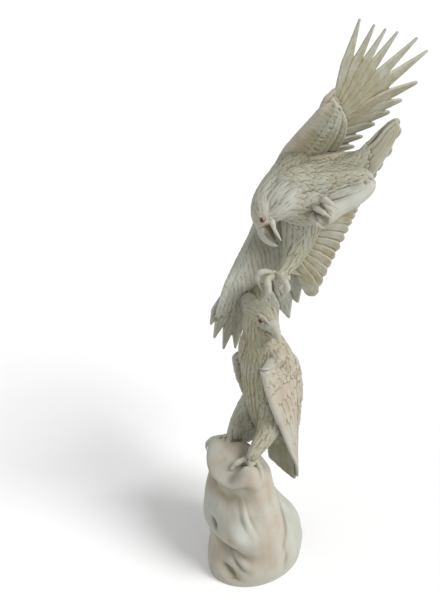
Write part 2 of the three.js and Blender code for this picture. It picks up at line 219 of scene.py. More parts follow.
def blade(root, tip, face, width, thick, taper=0.4, tip_width=0.25, power=1.0, tilt=0.06, tint=OLIVE):
    """One feather: a flat slip carried from root to tip, with a low shaft down its middle.

    Its half width grows to full at half length, narrows over the last `taper`, and closes in a round end.
    Its thickness starts thin at the root, so that it comes out of the wing without a step.
    tilt turns it about its shaft, so that each feather of a row lies over the next one.
    """
    root = np.asarray(root, float)
    tip = np.asarray(tip, float)
    t = 1 - (1 - np.linspace(0, 1, 60)) ** 1.4
    line = tip - root
    across = unit(np.cross(face, line))
    over = unit(np.cross(line, across))
    level = across
    across = level * math.cos(tilt) + over * math.sin(tilt)
    over = over * math.cos(tilt) - level * math.sin(tilt)
    angle = circle(32)
    narrowing = np.clip((t - 1 + taper) / taper, 0, None) ** power
    half = 0.5 * width * np.minimum(1, 0.5 + t) * (1 - (1 - tip_width) * narrowing)
    blunt = 0.5 * tip_width * width / np.linalg.norm(line)
    half = half * np.sqrt(1 - np.clip((t - 1 + blunt) / blunt, 0, 1) ** 2)
    u = np.cos(angle)
    wedge = (0.2 + 0.8 * np.clip(t / 0.25, 0, 1)) * (1 - 0.45 * t)
    body = 0.5 * thick * wedge[:, None] * np.sign(np.sin(angle)) * np.abs(np.sin(angle)) ** 0.5
    shaft = 0.5 * np.exp(-(u / 0.09) ** 2)
    rise = body + shaft * np.sign(np.sin(angle)) * np.clip(half / 6, 0, 1)[:, None]
    points = (root + line * t[:, None])[:, None] + across * (half[:, None] * u)[..., None]
    points = points + over * rise[..., None]
    rim = np.clip(np.maximum(np.abs(u)[None, :] ** 8, ((t - 0.9) / 0.1).clip(0)[:, None]), 0, 1)
    shade = tint + (PINKISH - tint) * rim
    length = np.linalg.norm(line) * t[:, None]
    return points, marked(points.shape[:2], shade, length, half[:, None] * u, BLADE_STROKES, unit(line))


def fan(count, roots, tips, faces, widths, thick, **options):
    """Row of feathers whose roots, tips, faces and widths each run along a smooth curve."""
    places = np.linspace(0, 1, count)
    rows = zip(curve(roots, places), curve(tips, places), curve(faces, places), curve(widths, places)[:, 0])
    return [blade(root, tip, face, width, thick, **options) for root, tip, face, width in rows]


def lid(centre, gaze, front, radius, tube):
    """Eyelid: a round tube bent into a ring about the gaze line, drawn out to a corner towards `front`."""
    gaze = unit(np.asarray(gaze, float))
    side = unit(np.asarray(front, float) - gaze * (gaze @ np.asarray(front, float)))
    up = np.cross(gaze, side)
    turn = np.linspace(0, 2 * math.pi, 61)
    drawn_out = np.cos(turn) * (1 + 0.35 * np.abs(np.cos(turn)) ** 3)
    spoke = side * drawn_out[:, None] + up * (0.96 * np.sin(turn))[:, None]
    angle = circle(14)
    ring = spoke[:, None] * (radius + tube * np.cos(angle))[None, :, None]
    points = np.asarray(centre, float) + gaze * 1.2 + ring + gaze * (tube * np.sin(angle))[None, :, None]
    return points, marked(points.shape[:2], PALE, 0, 0, 0.0)


def gathered(shells):
    """Points, marks, four-sided faces and three-sided faces of closed shells.

    Each grid of points is joined round, and both its ends close on their middles.
    """
    points, marks, quads, fans = [], [], [], []
    start = 0
    for grid, mark in shells:
        rows, cols = grid.shape[:2]
        index = start + np.arange(rows * cols).reshape(rows, cols)
        near = np.roll(index, -1, axis=1)
        quads.append(np.stack([index[:-1], near[:-1], near[1:], index[1:]], axis=-1).reshape(-1, 4))
        hubs = start + rows * cols
        fans.append(np.stack([near[0], index[0], np.full(cols, hubs)], axis=-1))
        fans.append(np.stack([index[-1], near[-1], np.full(cols, hubs + 1)], axis=-1))
        points += [grid.reshape(-1, 3), grid[[0, -1]].mean(axis=1)]
        marks += [mark.reshape(-1, 8), mark[[0, -1]].mean(axis=1)]
        start = hubs + 2
    return np.concatenate(points), np.concatenate(marks), np.concatenate(quads), np.concatenate(fans)


def paint(mesh, marks):
    """Gives a mesh its marks: the finish numbers, and the flow and kind of its feathers."""
    for name, part in (("finish", marks[:, :4]), ("flow", marks[:, 4:])):
        if name not in mesh.attributes:
            mesh.attributes.new(name, "FLOAT_COLOR", "POINT")
        mesh.attributes[name].data.foreach_set("color", np.ascontiguousarray(part, np.float32).ravel())


def note(mesh, name, values):
    """Gives every point of a mesh a number under a name."""
    mesh.attributes.new(name, "FLOAT", "POINT").data.foreach_set("value", values)


def marks_on(mesh):
    """The marks that a mesh carries."""
    parts = []
    for name in ("finish", "flow"):
        values = np.empty(len(mesh.vertices) * 4, np.float32)
        mesh.attributes[name].data.foreach_get("color", values)
        parts.append(values.reshape(-1, 4).astype(float))
    return np.concatenate(parts, axis=1)


def made(name, points, marks, quads, fans):
    """A mesh of points in millimetres, their marks, and their faces."""
    mesh = bpy.data.meshes.new(name)
    corners = np.concatenate([quads.ravel(), fans.ravel()])
    sizes = np.concatenate([np.full(len(quads), 4), np.full(len(fans), 3)])
    mesh.vertices.add(len(points))
    mesh.vertices.foreach_set("co", (points * MM).ravel())
    mesh.loops.add(len(corners))
    mesh.loops.foreach_set("vertex_index", corners)
    mesh.polygons.add(len(sizes))
    mesh.polygons.foreach_set("loop_start", np.concatenate([[0], np.cumsum(sizes)[:-1]]))
    mesh.update(calc_edges=True)
    paint(mesh, marks)
    return mesh


def placed(name, mesh):
    """A new object for a mesh, at the origin."""
    piece = bpy.data.objects.new(name, mesh)
    bpy.context.scene.collection.objects.link(piece)
    return piece


def settled(piece):
    """The piece's mesh with its modifiers worked in."""
    bpy.context.view_layer.update()
    mesh = bpy.data.meshes.new_from_object(piece.evaluated_get(bpy.context.evaluated_depsgraph_get()))
    piece.modifiers.clear()
    piece.data = mesh
    return mesh


def points_on(mesh, kind="co"):
    """Places or normals of a mesh's points."""
    values = np.empty(len(mesh.vertices) * 3)
    mesh.vertices.foreach_get(kind, values)
    return values.reshape(-1, 3)


def eased(mesh, values, rounds):
    """Values of a mesh's points, each replaced `rounds` times by the mean of its neighbours."""
    count = len(mesh.vertices)
    ends = np.empty(len(mesh.edges) * 2, int)
    mesh.edges.foreach_get("vertices", ends)
    a, b = ends.reshape(-1, 2).T
    degree = np.bincount(a, minlength=count) + np.bincount(b, minlength=count)
    smooth = np.array(values, float)
    for _ in range(rounds):
        for column in range(smooth.shape[1]):
            part = smooth[:, column]
            smooth[:, column] = (np.bincount(a, part[b], count) + np.bincount(b, part[a], count)) / degree
    return smooth


def hollows(mesh, rounds):
    """How deep each point lies: its distance below the surface smoothed `rounds` times, in millimetres."""
    points = points_on(mesh)
    return ((eased(mesh, points, rounds) - points) * points_on(mesh, "normal")).sum(axis=1) / MM


def fused(name, rough, voxel, rounds):
    """Overlapping shells joined into one skin of cells `voxel` millimetres wide, smoothed `rounds` times."""
    source = placed(name + "_rough", rough)
    piece = placed(name, rough.copy())
    joined = piece.modifiers.new("join", "REMESH")
    joined.mode = "VOXEL"
    joined.voxel_size = voxel * MM
    joined.use_smooth_shade = True
    sanded = piece.modifiers.new("sand", "SMOOTH")
    sanded.factor = 0.5
    sanded.iterations = rounds
    mesh = settled(piece)
    paint(mesh, np.zeros((len(mesh.vertices), 8)))
    copied = piece.modifiers.new("copy", "DATA_TRANSFER")
    copied.object = source
    copied.use_vert_data = True
    copied.data_types_verts = {"COLOR_VERTEX"}
    copied.vert_mapping = "POLYINTERP_NEAREST"
    settled(piece)
    bpy.data.objects.remove(source)
    return piece


def plumage(points, normals, flow, kind, seed):
    """How high feathers stand at each point, in millimetres, and how near it lies to its feather's outline.

    One feather starts in each cell of a coarse grid, turned and sized a little at random. u runs along it
    from 0 to 1, and v out from its shaft. It covers v < 1 - ((u - 0.35) / 0.65)^point, and rises from root
    to tip, lower at its outline. The highest feather at a point shows. Gaps between feathers lie low.
    """
    rng = np.random.default_rng(seed)
    order = np.argsort(points[:, 2])
    levels = points[order, 2]
    lift = np.zeros(len(points))
    outline = np.zeros(len(points))
    for number, (length, width, height, point) in PLUMES.items():
        members = np.flatnonzero(np.round(kind) == number)
        lift[members] = 0.3 * height
        outline[members] = 0.5
        cells = np.floor(points[members] / math.sqrt(0.42 * length * width)).astype(int)
        starts = members[np.unique(cells, axis=0, return_index=True)[1]]
        turns = rng.normal(0, 0.16, len(starts))
        sizes = rng.uniform(0.75, 1.25, len(starts))
        sides = unit(np.cross(normals[starts], flow[starts]))
        ways = unit(np.cross(sides, normals[starts]))
        for start, turn, size, side, way in zip(starts, turns, sizes, sides, ways):
            reach = length * size
            low, high = np.searchsorted(levels, points[start, 2] + np.array([-reach, reach]))
            near = order[low:high]
            offset = points[near] - points[start]
            u = offset @ (way * math.cos(turn) + side * math.sin(turn)) / reach + 0.5
            v = np.abs(offset @ (side * math.cos(turn) - way * math.sin(turn))) * 2 / (width * size)
            taper = 1 - np.clip((u - 0.35) / 0.65, 0, 1) ** point
            cover = (u > 0) & (v < taper) & (np.abs(offset @ normals[start]) < 0.35 * reach)
            rim = (v[cover] / taper[cover]) ** 3
            rise = height * size * (0.35 + 0.65 * u[cover]) * (1 - 0.35 * rim)
            covered = near[cover]
            higher = rise > lift[covered]
            lift[covered[higher]] = rise[higher]
            outline[covered[higher]] = rim[higher]
    return lift, outline


def carve(name, forms, details, voxel, seed, blend=16):
    """A carved piece: forms that run into each other, sharp details on them, and feathers cut into both."""
    core = fused(name + "_core", made(name + "_forms", *gathered(forms)), CORE_VOXEL, blend)
    faces = np.empty(len(core.data.loops), int)
    core.data.loops.foreach_get("vertex_index", faces)
    points, marks, quads, fans = gathered(details)
    first = points_on(core.data) / MM
    marks = np.concatenate([marks_on(core.data), marks])
    quads = np.concatenate([faces.reshape(-1, 4), quads + len(first)])
    rough = made(name + "_shells", np.concatenate([first, points]), marks, quads, fans + len(first))
    bpy.data.objects.remove(core)
    piece = fused(name, rough, voxel, 1)
    mesh = piece.data
    marks = marks_on(mesh)
    flow = unit(eased(mesh, marks[:, 4:7], 6))
    normals = eased(mesh, points_on(mesh, "normal"), 3)
    lift, outline = plumage(points_on(mesh) / MM, unit(normals), flow, marks[:, 7], seed)
    mesh.vertices.foreach_set("co", (points_on(mesh) + unit(normals) * lift[:, None] * MM).ravel())
    mesh.update()
    note(mesh, "outline", outline)
    return shown(piece)


def shown(piece):
    """Adds the depth of its hollows to a piece and dresses it as part of the carving."""
    mesh = piece.data
    note(mesh, "groove", hollows(mesh, FINE_ROUNDS))
    note(mesh, "hollow", hollows(mesh, BROAD_ROUNDS))
    mesh.attributes.remove(mesh.attributes["flow"])
    mesh.polygons.foreach_set("use_smooth", np.ones(len(mesh.polygons), bool))
    mesh.materials.clear()
    mesh.materials.append(WOOD)
    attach(piece, "root")
    return piece


def shade_node(tree, kind, inputs=(), **settings):
    """A node with its settings, and its inputs filled by links or by plain values."""
    node = tree.nodes.new("ShaderNode" + kind)
    for key, value in settings.items():
        setattr(node, key, value)
    for key, value in dict(inputs).items():
        if isinstance(value, bpy.types.NodeSocket):
            tree.links.new(value, node.inputs[key])
        else:
            node.inputs[key].default_value = value
    return node


def mixed(tree, factor, a, b):
    """Colour socket of a mix of two colours."""
    node = tree.nodes.new("ShaderNodeMix")
    node.data_type = "RGBA"
    for socket, value in ((node.inputs[0], factor), (node.inputs[6], a), (node.inputs[7], b)):
        if isinstance(value, bpy.types.NodeSocket):
            tree.links.new(value, socket)
        else:
            socket.default_value = value
    return node.outputs[2]


def spread(tree, value, low, high, to_low=0.0, to_high=1.0):
    """Value socket mapped from low..high to to_low..to_high, held at both ends."""
    inputs = {"Value": value, "From Min": low, "From Max": high, "To Min": to_low, "To Max": to_high}
    return shade_node(tree, "MapRange", inputs).outputs[0]


def new_material(name):
    """A material, its nodes and its shader."""
    material = bpy.data.materials.new(name)
    material.use_nodes = True
    return material, material.node_tree, material.node_tree.nodes["Principled BSDF"]


def number_on(tree, name):
    """Socket of the number that points carry under a name."""
    return shade_node(tree, "Attribute", attribute_name=name).outputs["Fac"]


def sum_of(tree, operation, a, b):
    """Socket of a sum, product or larger of two numbers."""
    return shade_node(tree, "Math", {0: a, 1: b}, operation=operation).outputs[0]


def noise(tree, place, scale, detail=4.0, roughness=0.55):
    """Noise value over a place."""
    inputs = {"Vector": place, "Scale": scale, "Detail": detail, "Roughness": roughness}
    return shade_node(tree, "TexNoise", inputs).outputs["Fac"]


PINK_CREAM = (0.43, 0.365, 0.287, 1)
OLIVE_GREY = (0.33, 0.32, 0.21, 1)
COOL_WHITE = (0.44, 0.455, 0.405, 1)
SAGE = (0.37, 0.37, 0.27, 1)
WARM_BROWN = (0.24, 0.195, 0.12, 1)
# Brown of painted shade in grooves, hollows and the darkest tints
SHADE_BROWN = (0.13, 0.10, 0.055, 1)


def pale_wood():
    """Raw pale wood: pinkish cream, olive and sage in feathers, cool white as painted highlight, brown as
    painted shade in grooves.
    """
    material, tree, shader = new_material("pale_wood")
    place = shade_node(tree, "TexCoord").outputs["Object"]
    marks = shade_node(tree, "Attribute", attribute_name="finish")
    split = shade_node(tree, "SeparateColor", {"Color": marks.outputs["Color"]})
    tint = split.outputs["Red"]
    strokes = marks.outputs["Alpha"]
    groove = number_on(tree, "groove")
    hollow = number_on(tree, "hollow")
    outline = number_on(tree, "outline")

    # The tint drifts from place to place and turns olive in hollows as painted shade; it picks the ground
    # colour
    drift = noise(tree, place, 10.0)
    cast = sum_of(tree, "ADD", tint, spread(tree, drift, 0.35, 0.65, -0.35, 0.35))
    # Painted shade and highlight: olive where the skin lies deep below its smoothed form, paler where it
    # stands high
    cast = sum_of(tree, "ADD", cast, spread(tree, hollow, -1.5, 4.0, -0.2, 0.5))
    colour = mixed(tree, spread(tree, cast, 0.0, 1.0), PINK_CREAM, OLIVE_GREY)

    # Upright grain of the log, and fine strokes along each feather
    stretched = {"Vector": place, "Scale": (60.0, 60.0, 7.0)}
    grain = noise(tree, shade_node(tree, "Mapping", stretched).outputs[0], 1.0, 3.0)
    lengthwise = sum_of(tree, "MULTIPLY", split.outputs["Green"], 55.0)
    sideways = sum_of(tree, "MULTIPLY", split.outputs["Blue"], 420.0)
    hair_place = shade_node(tree, "CombineXYZ", {"X": lengthwise, "Y": sideways, "Z": tint}).outputs[0]
    hairs = spread(tree, noise(tree, hair_place, 1.0, 2.0), 0.42, 0.62)
    hairs = sum_of(tree, "MULTIPLY", hairs, strokes)

    # Patches go pale at random, and ridges and humps go pale as painted highlight;
    # grooves, hollows and the outlines of feathers go brown as painted shade
    patches = noise(tree, place, 17.0, 5.0, 0.6)
    # Painted highlight: paler where the skin stands above its smoothed form
    ridge_highlight = spread(tree, groove, -0.05, -0.45, 0.0, 0.5)
    hump_highlight = spread(tree, hollow, -1.0, -5.0, 0.0, 0.35)
    # Painted shade: brown in grooves and hollows
    groove_and_hollow_shade = spread(tree, groove, 0.01, 0.3, 0.0, 0.9)
    groove_and_hollow_shade = sum_of(tree, "MAXIMUM", groove_and_hollow_shade, spread(tree, hollow, 0.8, 6.0))
    # Painted shade: feather outlines, where the relief drops, darkened in patches
    outline_shade = spread(tree, noise(tree, place, 30.0, 2.0), 0.35, 0.6, 0.2, 0.6)
    for share, tone in (
        (spread(tree, cast, 0.0, -0.9), COOL_WHITE),
        (spread(tree, cast, -1.0, -2.0), SAGE),
        (spread(tree, grain, 0.4, 0.75, 0.0, 0.3), WARM_BROWN),
        # Painted shade inside the fine strokes
        (sum_of(tree, "MULTIPLY", hairs, 0.42), WARM_BROWN),
        (spread(tree, patches, 0.45, 0.66, 0.0, 0.6), COOL_WHITE),
        (sum_of(tree, "MAXIMUM", ridge_highlight, hump_highlight), COOL_WHITE),
        (sum_of(tree, "MULTIPLY", groove_and_hollow_shade, 0.75), SHADE_BROWN),
        (sum_of(tree, "MULTIPLY", spread(tree, outline, 0.2, 0.8), outline_shade), WARM_BROWN),
        # Painted shade: the darkest tints, given to the mouth fill and the jaw, go brown
        (spread(tree, tint, 1.4, DARK), SHADE_BROWN),
    ):
        colour = mixed(tree, share, colour, tone)
    tree.links.new(colour, shader.inputs["Base Color"])
    tree.links.new(spread(tree, patches, 0.3, 0.7, 0.6, 0.8), shader.inputs["Roughness"])
    shader.inputs["Specular IOR Level"].default_value = 0.25

    # Strokes are cut in, and the grain and a fine tooth stand up
    height = sum_of(tree, "MULTIPLY", hairs, -1.0)
    height = sum_of(tree, "ADD", height, sum_of(tree, "MULTIPLY", grain, 0.5))
    height = sum_of(tree, "ADD", height, noise(tree, place, 170.0, 4.0))
    bump = shade_node(tree, "Bump", {"Height": height, "Strength": 0.4, "Distance": 0.001})
    tree.links.new(bump.outputs[0], shader.inputs["Normal"])
    return material


WOOD = pale_wood()

# Perched eagle: knots of its forms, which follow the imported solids
BODY = [
    [-32, 108, 215, 18, 18], [-32, 98, 255, 38, 36], [-34, 94, 300, 47, 46], [-36, 92, 350, 49, 47],
    [-38, 92, 395, 49, 45], [-42, 92, 428, 41, 38], [-46, 92, 455, 34, 31], [-47, 93, 482, 34, 28],
    [-46, 93, 505, 27, 22], [-46, 92, 517, 8, 6],
]
HEAD = [
    [-95, 100, 508, 7, 5], [-82, 99, 504, 17, 15], [-57, 96, 499, 24, 21], [-31, 93, 497, 23, 22],
    [-11, 89, 496, 17, 17], [2, 86, 494, 11, 12],
]
BEAK = [
    [-14, 89, 495, 14, 15], [2, 85, 494, 12, 13], [12, 82, 490, 9, 11], [19, 80, 483, 6, 8],
    [22, 79, 476, 3.5, 4.5], [20, 78, 469, 1, 1.2],
]
# Brow: x, the head's middle there, distance out from it, z, and radius
BROW = [(-34, 93, 16, 512, 1.5), (-22, 91.5, 16, 513, 2.8), (-9, 89, 12.5, 509, 2.6), (3, 86, 9, 502, 1.6)]
CREST = [[-60, 97, 504, 18, 14], [-78, 99, 509, 17, 12], [-93, 101, 513, 13, 9]]
JAW = [[-34, 93, 478, 13, 8], [-14, 89, 475, 9, 5.5], [2, 86, 473, 5, 3.5], [10, 84, 473.5, 1.5, 1.5]]
NEAR_SHOULDER = [
    [-46, 94, 474, 20, 18], [-36, 94, 454, 25, 24], [-24, 97, 432, 28, 30], [-12, 100, 408, 26, 32],
    [-2, 102, 376, 15, 30],
]
FAR_SHOULDER = [
    [-46, 92, 474, 24, 20], [-54, 90, 450, 25, 30], [-61, 88, 428, 22, 36], [-68, 92, 400, 14, 38],
]
NEAR_FRONT = [
    [14, 38, 424], [26, 36, 392], [32, 41, 350], [34, 54, 306], [31, 74, 240], [17, 102, 175], [-8, 125, 120],
]
NEAR_BACK = [
    [-20, 112, 438], [-8, 140, 398], [-6, 147, 350], [-7, 146, 306], [-14, 140, 240], [-16, 135, 175],
    [-9, 128, 120],
]
FAR_FRONT = [
    [-80, 47, 406], [-85, 52, 380], [-88, 58, 350], [-88, 70, 306], [-84, 84, 240], [-72, 108, 175],
    [-50, 128, 118],
]
FAR_BACK = [
    [-52, 120, 436], [-60, 140, 400], [-62, 146, 350], [-60, 144, 306], [-52, 138, 240], [-50, 134, 175],
    [-49, 130, 118],
]
NEAR_THIGH = [
    [-16, 88, 330, 20, 34], [0, 72, 304, 24, 32], [9, 42, 277, 16, 20], [14, 10, 257, 11, 13],
    [14, 0, 243, 8, 8], [14, -2, 234, 8, 8],
]
FAR_THIGH = [
    [-54, 100, 330, 20, 36], [-65, 82, 296, 21, 38], [-70, 60, 262, 17, 40], [-72, 46, 240, 13, 36],
    [-72, 38, 222, 11, 32],
]
PERCHED_TAIL_FRONT = [[-8, 112, 250], [-6, 121, 195], [-9, 126, 150], [-14, 128, 111]]
PERCHED_TAIL_BACK = [[-58, 110, 250], [-68, 112, 205], [-78, 114, 165], [-83, 117, 134]]
SHOULDER_CAP = [[-34, 108, 446, 14, 14], [-12, 102, 436, 15, 14], [5, 88, 426, 14, 12], [13, 74, 420, 7, 6]]
SCROLL = [[10, 38, 430, 1, 1], [20, 42, 431, 2.2, 2.2], [24, 54, 430, 2.2, 2.2], [22, 68, 427, 1, 1]]
BRIDGE = [[-48, 98, 494, 20, 22], [-76, 116, 500, 17, 19], [-108, 138, 510, 16, 22]]
# Toes: the places of each one from its root to the tip of its claw, and the radii there
PERCHED_TOES = [
    [[13, 2, 242], [3, -8, 243], [-4, -24, 237], [-7, -32, 226], [-6, -33, 212]],
    [[14, 0, 242], [27, -12, 242], [38, -19, 234], [42, -22, 222], [39, -22, 207]],
    [[16, 2, 241], [34, 2, 240], [50, -6, 232], [56, -14, 220], [54, -18, 206]],
    [[-74, 12, 241], [-85, 1, 242], [-93, -14, 239], [-99, -22, 229], [-98, -25, 216]],
    [[-73, 12, 240], [-76, -2, 239], [-73, -16, 232], [-68, -23, 221], [-66, -22, 207]],
    [[-71, 12, 240], [-60, 0, 238], [-50, -12, 230], [-45, -19, 220], [-44, -20, 208]],
]
PERCHED_RADII = [6, 5, 4.5, 3, 0.8]


def body_kinds(t, angle):
    """Breast feathers below, long hackles on the neck."""
    return np.where(t + 0 * angle > 0.62, HACKLES, BREAST)


def folded_kinds(t, v):
    """Folded wing: small round feathers over its top."""
    return np.where(t + 0.03 * np.sin(7 * v) < 0.19, COVERTS, BARE)


def beak_marks(t, angle):
    """Beak: a mouth line low on both sides, and a step where horn meets feathers."""
    places = (math.pi + 0.5, 2 * math.pi - 0.5)
    line = sum(np.exp(-((angle - place) / 0.16) ** 2) for place in places)
    step = np.exp(-((t - 0.34) / 0.04) ** 2)
    return -1.7 * line * np.clip((0.85 - t) / 0.1, 0, 1) - 1.2 * step


def folded_feathers(t, v):
    """Folded wing: rows of long narrow feathers that grow longer down the wing, and a smooth front rim."""
    s = np.interp(t, [0, 0.05, 0.10, 0.15, 0.21, 0.30, 0.44, 0.64, 0.88, 1], [0, 1, 2, 3, 4, 5, 6, 7, 8, 8.4])
    wave = 0.12 * np.sin(9 * v + 17 * t)
    rows = scales(s + wave, v * 7 + 0.2 + 0.1 * np.sin(12 * t), reach=0.3, point=2.5, seam=0.5)
    rim = np.clip((v - 0.1) / 0.05, 0, 1)
    return (2.6 * rows * rim + 1.6 * (1 - rim)) * np.clip((t - 0.24) / 0.12, 0, 1)


def toe_ridges(count):
    """Maker of the knuckles and cross ridges on a toe, which end before its claw."""
    def relief(t, angle):
        wave = np.abs(np.sin(t * count * math.pi)) ** 0.6
        knuckles = 1.2 * np.exp(-((t - 0.45) / 0.08) ** 2) + 0.9 * np.exp(-((t - 0.7) / 0.06) ** 2)
        return (0.8 * wave + knuckles) * np.clip((0.76 - t) / 0.08, 0, 1) + 0 * angle
    return relief


def toes(paths, radii, across, count=9):
    """Round toes along paths, each with its claw, and `count` cross ridges."""
    shells = []
    for path in paths:
        knots = [[*place, radius, radius] for place, radius in zip(path, radii)]
        shells.append(sweep(knots, across, 80, 24, toe_ridges(count), tint=(GREY_GREEN, PINKISH), strokes=0))
    return shells


def perched_eagle():
    """Forms and details of the eagle that stands on the rock."""
    shoulder = dict(thick=15.5, fade=1.0, start=0.15, kind=COVERTS, lie=(0, 1))
    folded = dict(thick=14, fade=0.85, start=0.3, rows=240, cols=110, kind=folded_kinds,
                  inner=folded_feathers, lie=(0, 1))
    forms = [
        sweep(BODY, X, 200, 160, kind=body_kinds, way=-1, tint=DEEP_OLIVE),
        sweep(HEAD, Y, 90, 80, kind=HAIRS, way=-1, tint=CROWN_DOWN),
        sweep(BRIDGE, Y, 24, 40),
        sweep(NEAR_SHOULDER, X, 70, 80, kind=COVERTS, tint=(GREY_GREEN, PALE, PINKISH)),
        sweep(FAR_SHOULDER, X, 70, 80, kind=COVERTS),
        sweep(NEAR_THIGH, X, 90, 60, kind=TROUSERS, tint=OLIVE),
        # Far thigh tinted pale as painted light, lifting the shade that the body casts on it
        sweep(FAR_THIGH, X, 90, 60, kind=TROUSERS, tint=DOWN),
        panel(NEAR_FRONT[:4], NEAR_BACK[:4], camber=3, side=-1, tint=PINKISH, **shoulder),
        sweep(SHOULDER_CAP, X, 50, 50, kind=COVERTS, tint=HORN_FADE),
        panel(FAR_FRONT[:4], FAR_BACK[:4], camber=2, side=1, tint=PALE, **shoulder),
    ]
    details = [
        sweep(BEAK, Y, 100, 90, beak_marks, tint=BEAK_FADE, strokes=0.3),
        # The jaw is tinted dark as painted shade under the upper beak
        sweep(JAW, Y, 60, 50, tint=JAW_SHADE_TINT, strokes=0.3),
        sweep(CREST, Y, 60, 60, kind=HAIRS, way=-1, tint=SAGE_DOWN),
        sweep(SCROLL, Z, 50, 24, tint=PINKISH, strokes=0.3),
        panel(NEAR_FRONT, NEAR_BACK, camber=3, side=-1, tint=PINKISH, strokes=0.4, **folded),
        panel(FAR_FRONT, FAR_BACK, camber=2, side=1, tint=PALE, **folded),
        panel(PERCHED_TAIL_FRONT, PERCHED_TAIL_BACK, thick=9, fade=0.3, edge=0.7, rows=90, cols=60,
              inner=lambda t, v: 0.4 * np.abs(np.sin(v * 4 * math.pi)), rim_tint=OLIVE, lie=(0, 1)),
    ]
    details += toes(PERCHED_TOES, PERCHED_RADII, X)
    for side in (-1, 1):
        brow = [[x, y + side * out, z, size, size] for x, y, out, z, size in BROW]
        details.append(sweep(brow, Y, 40, 24, tint=GREY_GREEN, strokes=0.4))
    return forms, details


def wing_kinds(t, v):
    """Underside of the raised wing: soft strokes at its front edge."""
    return np.where(v + 0 * t < 0.34, SOFT, BARE)


def braid(t, v):
    """Underside of the raised wing: long narrow feathers, then rows of short round ones at its back edge."""
    long_ones = np.abs(np.sin((t * 17 + 1.2 * (v - 0.3) ** 2) * math.pi)) ** 0.7
    short_ones = scales((v - 0.58) / 0.14, t * 15, reach=0.4, point=3.0, seam=0.5)
    share = np.clip((v - 0.56) / 0.04, 0, 1)
    return 1.7 * long_ones * np.clip((v - 0.22) / 0.1, 0, 1) * (1 - share) + (0.5 + 3.0 * short_ones) * share


def hanging_kinds(t, v):
    """Face of the hanging wing: bare at its front edge, soft strokes behind."""
    return np.where(v + 0 * t < 0.07, BARE, SOFT)


def long_strokes(t, v):
    """Plain back of a wing: long shallow feathers from front to back."""
    return np.abs(np.sin(t * 11 * math.pi)) * np.clip((v - 0.2) / 0.3, 0, 1)


# Swooping eagle, likewise
SWOOP_BODY = [
    [-74, 172, 724, 28, 32], [-58, 192, 714, 44, 46], [-46, 220, 706, 50, 52], [-28, 255, 712, 42, 44],
    [-10, 286, 726, 26, 30], [8, 314, 750, 12, 20], [24, 340, 780, 6, 12],
]
SWOOP_HEAD = [
    [-72, 196, 732, 28, 24], [-70, 164, 716, 26, 25], [-61, 136, 698, 24, 26], [-48, 123, 681, 21, 23],
    [-38, 118, 670, 16, 17],
]
THROAT = [
    [-40, 126, 686, 11, 11], [-30, 140, 694, 16, 16], [-28, 160, 702, 22, 24], [-36, 185, 708, 28, 32],
    [-46, 210, 708, 30, 34],
]
NECK_SIDE = [
    [-48, 128, 690, 13, 14], [-46, 144, 700, 21, 22], [-44, 166, 710, 29, 28], [-46, 196, 714, 32, 34],
]
WING_ROOT = [
    [-72, 190, 728, 28, 28], [-68, 212, 750, 24, 26], [-60, 232, 772, 15, 20], [-48, 248, 796, 6, 9],
]
KEEL = [
    [-50, 150, 702, 20, 22], [-34, 168, 696, 27, 29], [-22, 192, 690, 33, 35], [-14, 218, 692, 34, 36],
    [-6, 240, 700, 32, 32], [4, 256, 708, 24, 24],
]
ROOT_FILL = [[-56, 236, 744, 20, 22], [-40, 262, 748, 15, 15], [-22, 290, 752, 9, 9], [-10, 308, 757, 4, 4]]
TUCKED_THIGH = [
    [-36, 222, 704, 44, 46], [-14, 246, 712, 40, 40], [8, 266, 719, 30, 31], [26, 282, 723, 22, 23],
    [39, 292, 723, 15, 17], [46, 297, 723, 7, 9],
]
CALF = [[4, 216, 694, 22, 22], [26, 236, 703, 22, 20], [40, 256, 711, 18, 16], [48, 276, 718, 13, 13]]
TUCKED_SHIN = [
    [42, 292, 720, 10, 10], [48, 284, 716, 13, 13], [50, 266, 709, 13, 14], [48, 242, 702, 13, 14],
    [42, 214, 696, 15, 15], [36, 196, 692, 20, 20], [34, 189, 691, 20, 20],
]
TUCKED_TOES = [
    [[26, 192, 714], [42, 184, 724], [56, 186, 720], [64, 200, 706]],
    [[16, 188, 699], [32, 176, 707], [47, 177, 703], [58, 186, 692]],
    [[12, 188, 684], [22, 174, 686], [36, 172, 679], [48, 178, 671]],
]
TUCKED_RADII = [5, 5, 3.8, 0.8]
STRIKING_LEG = [
    [-46, 222, 690, 42, 46], [-44, 208, 654, 30, 44], [-42, 194, 620, 23, 36], [-37, 172, 593, 17, 24],
    [-31, 151, 579, 12, 15], [-26, 134, 573, 9, 9], [-24, 122, 574, 8, 8],
]
STRIKING_TOES = [
    [[-22, 122, 576], [2, 114, 580], [18, 111, 569], [1, 103, 538]],
    [[-24, 118, 576], [-20, 98, 578], [-12, 92, 560], [-25, 92, 538]],
    [[-26, 118, 578], [-34, 100, 588], [-40, 90, 578], [-36, 96, 547]],
]
STRIKING_RADII = [6, 5, 4.4, 0.8]
HIND_TOE = [[-24, 128, 576], [-24, 142, 568], [-26, 142, 554], [-28, 126, 545]]
HIND_RADII = [6, 5, 4, 0.8]
UPPER_BEAK = [
    [-50, 124, 686, 12, 13], [-48, 118, 672, 12, 13], [-46, 115, 662, 10.5, 11], [-42, 113, 653, 8.5, 9],
    [-31, 112, 647, 6, 6.5], [-17, 112, 644, 4, 4], [-2, 112, 646, 1, 1],
]
LOWER_BEAK = [
    [-50, 134, 702, 10, 10], [-33, 124, 690, 6.2, 6], [-18, 119, 672, 3.7, 3.2], [-8, 119, 661, 2.8, 2.4],
    [0, 119, 653, 1, 1],
]
